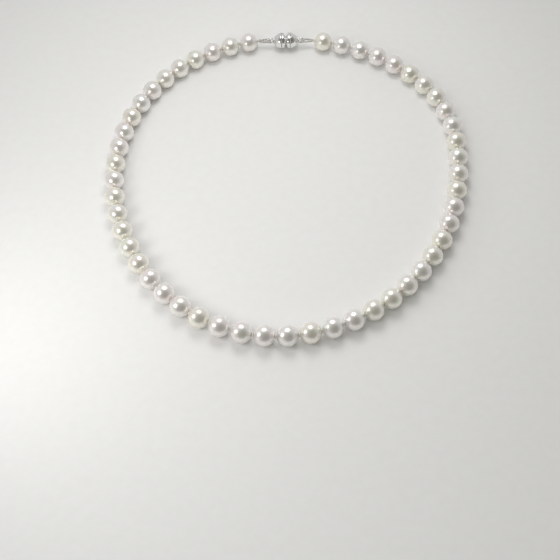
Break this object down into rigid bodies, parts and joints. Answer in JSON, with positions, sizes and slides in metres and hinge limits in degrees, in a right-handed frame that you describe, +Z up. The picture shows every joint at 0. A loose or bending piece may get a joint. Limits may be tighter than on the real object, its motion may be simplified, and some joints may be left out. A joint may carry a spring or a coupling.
{
  "type": "pearl necklace",
  "caption": "Single strand of matched round white pearls, knotted on a silk thread, with gimp loops and a magnetic two-part silver clasp.",
  "frame": {"origin": "on the surface the necklace lies on, under the middle of its outline", "axes": "+Z up; +Y towards the clasp at the back; +X to the right seen from the middle pearl at the front, looking towards the clasp"},
  "size_m": [0.1472, 0.1574, 0.008],
  "materials": {
    "pearl": "polished",
    "silk": "satin",
    "gimp": "satin",
    "clasp": "polished",
    "magnet": "satin"
  },
  "bodies": {
    "pearl_centre": {"pearl_centre": "pearl"},
    "pearl_left_01": {"pearl_left_01": "pearl"},
    "pearl_left_02": {"pearl_left_02": "pearl"},
    "pearl_left_03": {"pearl_left_03": "pearl"},
    "pearl_left_04": {"pearl_left_04": "pearl"},
    "pearl_left_05": {"pearl_left_05": "pearl"},
    "pearl_left_06": {"pearl_left_06": "pearl"},
    "pearl_left_07": {"pearl_left_07": "pearl"},
    "pearl_left_08": {"pearl_left_08": "pearl"},
    "pearl_left_09": {"pearl_left_09": "pearl"},
    "pearl_left_10": {"pearl_left_10": "pearl"},
    "pearl_left_11": {"pearl_left_11": "pearl"},
    "pearl_left_12": {"pearl_left_12": "pearl"},
    "pearl_left_13": {"pearl_left_13": "pearl", "silk_thread_left": "silk"},
    "pearl_left_14": {"pearl_left_14": "pearl"},
    "pearl_left_15": {"pearl_left_15": "pearl"},
    "pearl_left_16": {"pearl_left_16": "pearl"},
    "pearl_left_17": {"pearl_left_17": "pearl"},
    "pearl_left_18": {"pearl_left_18": "pearl"},
    "pearl_left_19": {"pearl_left_19": "pearl"},
    "pearl_left_20": {"pearl_left_20": "pearl"},
    "pearl_left_21": {"pearl_left_21": "pearl"},
    "pearl_left_22": {"pearl_left_22": "pearl"},
    "pearl_left_23": {"pearl_left_23": "pearl"},
    "pearl_left_24": {"pearl_left_24": "pearl"},
    "pearl_left_25": {"pearl_left_25": "pearl"},
    "pearl_right_01": {"pearl_right_01": "pearl"},
    "pearl_right_02": {"pearl_right_02": "pearl"},
    "pearl_right_03": {"pearl_right_03": "pearl"},
    "pearl_right_04": {"pearl_right_04": "pearl"},
    "pearl_right_05": {"pearl_right_05": "pearl"},
    "pearl_right_06": {"pearl_right_06": "pearl"},
    "pearl_right_07": {"pearl_right_07": "pearl"},
    "pearl_right_08": {"pearl_right_08": "pearl"},
    "pearl_right_09": {"pearl_right_09": "pearl"},
    "pearl_right_10": {"pearl_right_10": "pearl"},
    "pearl_right_11": {"pearl_right_11": "pearl"},
    "pearl_right_12": {"pearl_right_12": "pearl"},
    "pearl_right_13": {"pearl_right_13": "pearl", "silk_thread_right": "silk"},
    "pearl_right_14": {"pearl_right_14": "pearl"},
    "pearl_right_15": {"pearl_right_15": "pearl"},
    "pearl_right_16": {"pearl_right_16": "pearl"},
    "pearl_right_17": {"pearl_right_17": "pearl"},
    "pearl_right_18": {"pearl_right_18": "pearl"},
    "pearl_right_19": {"pearl_right_19": "pearl"},
    "pearl_right_20": {"pearl_right_20": "pearl"},
    "pearl_right_21": {"pearl_right_21": "pearl"},
    "pearl_right_22": {"pearl_right_22": "pearl"},
    "pearl_right_23": {"pearl_right_23": "pearl"},
    "pearl_right_24": {"pearl_right_24": "pearl"},
    "pearl_right_25": {"pearl_right_25": "pearl"},
    "gimp_loop_left": {"gimp_loop_left": "gimp"},
    "clasp_left": {"clasp_half_left": "clasp", "magnet_left": "magnet"},
    "gimp_loop_right": {"gimp_loop_right": "gimp"},
    "clasp_right": {"clasp_half_right": "clasp", "magnet_right": "magnet"}
  },
  "joints": [
    {"name": "knot_left_01", "type": "hinge", "parent": "pearl_centre", "child": "pearl_left_01", "pos_m": [-0.00439, -0.07498, 0.004], "axis": [0, 0, 1], "range_deg": [0, 40], "deforming": ["silk_thread_left"]},
    {"name": "knot_left_02", "type": "hinge", "parent": "pearl_left_01", "child": "pearl_left_02", "pos_m": [-0.01285, -0.07429, 0.004], "axis": [0.1576, 0.9875, 0], "range_deg": [-33, 33], "deforming": ["silk_thread_left"]},
    {"name": "knot_left_03", "type": "hinge", "parent": "pearl_left_02", "child": "pearl_left_03", "pos_m": [-0.02111, -0.07231, 0.004], "axis": [0, 0, -1], "range_deg": [-40, 0], "deforming": ["silk_thread_left"]},
    {"name": "knot_left_04", "type": "hinge", "parent": "pearl_left_03", "child": "pearl_left_04", "pos_m": [-0.02899, -0.06914, 0.004], "axis": [-0.4385, -0.8987, 0], "range_deg": [-33, 33], "deforming": ["silk_thread_left"]},
    {"name": "knot_left_05", "type": "hinge", "parent": "pearl_left_04", "child": "pearl_left_05", "pos_m": [-0.03634, -0.06488, 0.004], "axis": [0, 0, 1], "range_deg": [0, 40], "deforming": ["silk_thread_left"]},
    {"name": "knot_left_06", "type": "hinge", "parent": "pearl_left_05", "child": "pearl_left_06", "pos_m": [-0.04303, -0.05965, 0.004], "axis": [0.6659, 0.746, 0], "range_deg": [-33, 33], "deforming": ["silk_thread_left"]},
    {"name": "knot_left_07", "type": "hinge", "parent": "pearl_left_06", "child": "pearl_left_07", "pos_m": [-0.04898, -0.05359, 0.004], "axis": [0, 0, -1], "range_deg": [-40, 0], "deforming": ["silk_thread_left"]},
    {"name": "knot_left_08", "type": "hinge", "parent": "pearl_left_07", "child": "pearl_left_08", "pos_m": [-0.0542, -0.04689, 0.004], "axis": [-0.8211, -0.5708, 0], "range_deg": [-33, 33], "deforming": ["silk_thread_left"]},
    {"name": "knot_left_09", "type": "hinge", "parent": "pearl_left_08", "child": "pearl_left_09", "pos_m": [-0.05867, -0.03966, 0.004], "axis": [0, 0, 1], "range_deg": [0, 40], "deforming": ["silk_thread_left"]},
    {"name": "knot_left_10", "type": "hinge", "parent": "pearl_left_09", "child": "pearl_left_10", "pos_m": [-0.06241, -0.03203, 0.004], "axis": [0.918, 0.3967, 0], "range_deg": [-33, 33], "deforming": ["silk_thread_left"]},
    {"name": "knot_left_11", "type": "hinge", "parent": "pearl_left_10", "child": "pearl_left_11", "pos_m": [-0.0654, -0.02408, 0.004], "axis": [0, 0, -1], "range_deg": [-40, 0], "deforming": ["silk_thread_left"]},
    {"name": "knot_left_12", "type": "hinge", "parent": "pearl_left_11", "child": "pearl_left_12", "pos_m": [-0.06763, -0.01588, 0.004], "axis": [-0.9766, -0.215, 0], "range_deg": [-33, 33], "deforming": ["silk_thread_left"]},
    {"name": "knot_left_13", "type": "hinge", "parent": "pearl_left_12", "child": "pearl_left_13", "pos_m": [-0.06905, -0.0075, 0.004], "axis": [0, 0, 1], "range_deg": [0, 40], "deforming": ["silk_thread_left"]},
    {"name": "knot_left_14", "type": "hinge", "parent": "pearl_left_13", "child": "pearl_left_14", "pos_m": [-0.06967, 0.00097, 0.004], "axis": [0.9997, 0.0232, 0], "range_deg": [-33, 33], "deforming": ["silk_thread_left"]},
    {"name": "knot_left_15", "type": "hinge", "parent": "pearl_left_14", "child": "pearl_left_15", "pos_m": [-0.06945, 0.00947, 0.004], "axis": [0, 0, -1], "range_deg": [-40, 0], "deforming": ["silk_thread_left"]},
    {"name": "knot_left_16", "type": "hinge", "parent": "pearl_left_15", "child": "pearl_left_16", "pos_m": [-0.06838, 0.01789, 0.004], "axis": [-0.9839, 0.1786, 0], "range_deg": [-33, 33], "deforming": ["silk_thread_left"]},
    {"name": "knot_left_17", "type": "hinge", "parent": "pearl_left_16", "child": "pearl_left_17", "pos_m": [-0.06642, 0.02616, 0.004], "axis": [0, 0, 1], "range_deg": [0, 40], "deforming": ["silk_thread_left"]},
    {"name": "knot_left_18", "type": "hinge", "parent": "pearl_left_17", "child": "pearl_left_18", "pos_m": [-0.06354, 0.03415, 0.004], "axis": [0.9193, -0.3936, 0], "range_deg": [-33, 33], "deforming": ["silk_thread_left"]},
    {"name": "knot_left_19", "type": "hinge", "parent": "pearl_left_18", "child": "pearl_left_19", "pos_m": [-0.05974, 0.04175, 0.004], "axis": [0, 0, -1], "range_deg": [-40, 0], "deforming": ["silk_thread_left"]},
    {"name": "knot_left_20", "type": "hinge", "parent": "pearl_left_19", "child": "pearl_left_20", "pos_m": [-0.05506, 0.04884, 0.004], "axis": [-0.7998, 0.6003, 0], "range_deg": [-33, 33], "deforming": ["silk_thread_left"]},
    {"name": "knot_left_21", "type": "hinge", "parent": "pearl_left_20", "child": "pearl_left_21", "pos_m": [-0.04956, 0.05532, 0.004], "axis": [0, 0, 1], "range_deg": [0, 40], "deforming": ["silk_thread_left"]},
    {"name": "knot_left_22", "type": "hinge", "parent": "pearl_left_21", "child": "pearl_left_22", "pos_m": [-0.04331, 0.06107, 0.004], "axis": [0.6285, -0.7778, 0], "range_deg": [-33, 33], "deforming": ["silk_thread_left"]},
    {"name": "knot_left_23", "type": "hinge", "parent": "pearl_left_22", "child": "pearl_left_23", "pos_m": [-0.03637, 0.06597, 0.004], "axis": [0, 0, -1], "range_deg": [-40, 0], "deforming": ["silk_thread_left"]},
    {"name": "knot_left_24", "type": "hinge", "parent": "pearl_left_23", "child": "pearl_left_24", "pos_m": [-0.02886, 0.06993, 0.004], "axis": [-0.4095, 0.9123, 0], "range_deg": [-33, 33], "deforming": ["silk_thread_left"]},
    {"name": "knot_left_25", "type": "hinge", "parent": "pearl_left_24", "child": "pearl_left_25", "pos_m": [-0.0209, 0.07291, 0.004], "axis": [0, 0, 1], "range_deg": [0, 40], "deforming": ["silk_thread_left"]},
    {"name": "knot_left_26", "type": "hinge", "parent": "pearl_left_25", "child": "gimp_loop_left", "pos_m": [-0.01265, 0.07494, 0.004], "axis": [0.017, -0.9999, 0], "range_deg": [-33, 33], "deforming": ["silk_thread_left"]},
    {"name": "eyelet_left", "type": "hinge", "parent": "gimp_loop_left", "child": "clasp_left", "pos_m": [-0.0083, 0.07501, 0.004], "axis": [0, 0, 1], "range_deg": [-40, 40]},
    {"name": "knot_right_01", "type": "hinge", "parent": "pearl_centre", "child": "pearl_right_01", "pos_m": [0.00408, -0.07437, 0.004], "axis": [0, 0, -1], "range_deg": [0, 40], "deforming": ["silk_thread_right"]},
    {"name": "knot_right_02", "type": "hinge", "parent": "pearl_right_01", "child": "pearl_right_02", "pos_m": [0.0124, -0.07264, 0.004], "axis": [0.266, -0.964, 0], "range_deg": [-33, 33], "deforming": ["silk_thread_right"]},
    {"name": "knot_right_03", "type": "hinge", "parent": "pearl_right_02", "child": "pearl_right_03", "pos_m": [0.02042, -0.06986, 0.004], "axis": [0, 0, 1], "range_deg": [-40, 0], "deforming": ["silk_thread_right"]},
    {"name": "knot_right_04", "type": "hinge", "parent": "pearl_right_03", "child": "pearl_right_04", "pos_m": [0.02804, -0.0661, 0.004], "axis": [-0.4947, 0.8691, 0], "range_deg": [-33, 33], "deforming": ["silk_thread_right"]},
    {"name": "knot_right_05", "type": "hinge", "parent": "pearl_right_04", "child": "pearl_right_05", "pos_m": [0.03516, -0.06147, 0.004], "axis": [0, 0, -1], "range_deg": [0, 40], "deforming": ["silk_thread_right"]},
    {"name": "knot_right_06", "type": "hinge", "parent": "pearl_right_05", "child": "pearl_right_06", "pos_m": [0.04173, -0.05607, 0.004], "axis": [0.6751, -0.7377, 0], "range_deg": [-33, 33], "deforming": ["silk_thread_right"]},
    {"name": "knot_right_07", "type": "hinge", "parent": "pearl_right_06", "child": "pearl_right_07", "pos_m": [0.04768, -0.05001, 0.004], "axis": [0, 0, 1], "range_deg": [-40, 0], "deforming": ["silk_thread_right"]},
    {"name": "knot_right_08", "type": "hinge", "parent": "pearl_right_07", "child": "pearl_right_08", "pos_m": [0.05298, -0.04337, 0.004], "axis": [-0.8133, 0.5818, 0], "range_deg": [-33, 33], "deforming": ["silk_thread_right"]},
    {"name": "knot_right_09", "type": "hinge", "parent": "pearl_right_08", "child": "pearl_right_09", "pos_m": [0.05756, -0.03621, 0.004], "axis": [0, 0, -1], "range_deg": [0, 40], "deforming": ["silk_thread_right"]},
    {"name": "knot_right_10", "type": "hinge", "parent": "pearl_right_09", "child": "pearl_right_10", "pos_m": [0.06135, -0.02861, 0.004], "axis": [0.9161, -0.401, 0], "range_deg": [-33, 33], "deforming": ["silk_thread_right"]},
    {"name": "knot_right_11", "type": "hinge", "parent": "pearl_right_10", "child": "pearl_right_11", "pos_m": [0.06436, -0.02067, 0.004], "axis": [0, 0, 1], "range_deg": [-40, 0], "deforming": ["silk_thread_right"]},
    {"name": "knot_right_12", "type": "hinge", "parent": "pearl_right_11", "child": "pearl_right_12", "pos_m": [0.06663, -0.01248, 0.004], "axis": [-0.9734, 0.2293, 0], "range_deg": [-33, 33], "deforming": ["silk_thread_right"]},
    {"name": "knot_right_13", "type": "hinge", "parent": "pearl_right_12", "child": "pearl_right_13", "pos_m": [0.06825, -0.00414, 0.004], "axis": [0, 0, -1], "range_deg": [0, 40], "deforming": ["silk_thread_right"]},
    {"name": "knot_right_14", "type": "hinge", "parent": "pearl_right_13", "child": "pearl_right_14", "pos_m": [0.0693, 0.0043, 0.004], "axis": [0.9962, -0.0873, 0], "range_deg": [-33, 33], "deforming": ["silk_thread_right"]},
    {"name": "knot_right_15", "type": "hinge", "parent": "pearl_right_14", "child": "pearl_right_15", "pos_m": [0.06974, 0.01278, 0.004], "axis": [0, 0, 1], "range_deg": [-40, 0], "deforming": ["silk_thread_right"]},
    {"name": "knot_right_16", "type": "hinge", "parent": "pearl_right_15", "child": "pearl_right_16", "pos_m": [0.06938, 0.02127, 0.004], "axis": [-0.9947, -0.103, 0], "range_deg": [-33, 33], "deforming": ["silk_thread_right"]},
    {"name": "knot_right_17", "type": "hinge", "parent": "pearl_right_16", "child": "pearl_right_17", "pos_m": [0.06799, 0.02965, 0.004], "axis": [0, 0, -1], "range_deg": [0, 40], "deforming": ["silk_thread_right"]},
    {"name": "knot_right_18", "type": "hinge", "parent": "pearl_right_17", "child": "pearl_right_18", "pos_m": [0.06534, 0.03772, 0.004], "axis": [0.9188, 0.3948, 0], "range_deg": [-33, 33], "deforming": ["silk_thread_right"]},
    {"name": "knot_right_19", "type": "hinge", "parent": "pearl_right_18", "child": "pearl_right_19", "pos_m": [0.06131, 0.04519, 0.004], "axis": [0, 0, 1], "range_deg": [-40, 0], "deforming": ["silk_thread_right"]},
    {"name": "knot_right_20", "type": "hinge", "parent": "pearl_right_19", "child": "pearl_right_20", "pos_m": [0.05614, 0.05193, 0.004], "axis": [-0.7492, -0.6623, 0], "range_deg": [-33, 33], "deforming": ["silk_thread_right"]},
    {"name": "knot_right_21", "type": "hinge", "parent": "pearl_right_20", "child": "pearl_right_21", "pos_m": [0.05009, 0.05789, 0.004], "axis": [0, 0, -1], "range_deg": [0, 40], "deforming": ["silk_thread_right"]},
    {"name": "knot_right_22", "type": "hinge", "parent": "pearl_right_21", "child": "pearl_right_22", "pos_m": [0.04335, 0.06306, 0.004], "axis": [0.5627, 0.8267, 0], "range_deg": [-33, 33], "deforming": ["silk_thread_right"]},
    {"name": "knot_right_23", "type": "hinge", "parent": "pearl_right_22", "child": "pearl_right_23", "pos_m": [0.03607, 0.06743, 0.004], "axis": [0, 0, 1], "range_deg": [-40, 0], "deforming": ["silk_thread_right"]},
    {"name": "knot_right_24", "type": "hinge", "parent": "pearl_right_23", "child": "pearl_right_24", "pos_m": [0.02834, 0.07097, 0.004], "axis": [-0.3651, -0.9309, 0], "range_deg": [-33, 33], "deforming": ["silk_thread_right"]},
    {"name": "knot_right_25", "type": "hinge", "parent": "pearl_right_24", "child": "pearl_right_25", "pos_m": [0.02027, 0.07363, 0.004], "axis": [0, 0, -1], "range_deg": [0, 40], "deforming": ["silk_thread_right"]},
    {"name": "knot_right_26", "type": "hinge", "parent": "pearl_right_25", "child": "gimp_loop_right", "pos_m": [0.01196, 0.07536, 0.004], "axis": [-0.017, 0.9999, 0], "range_deg": [-33, 33], "deforming": ["silk_thread_right"]},
    {"name": "eyelet_right", "type": "hinge", "parent": "gimp_loop_right", "child": "clasp_right", "pos_m": [0.0076, 0.07528, 0.004], "axis": [0, 0, 1], "range_deg": [-40, 40]}
  ]
}
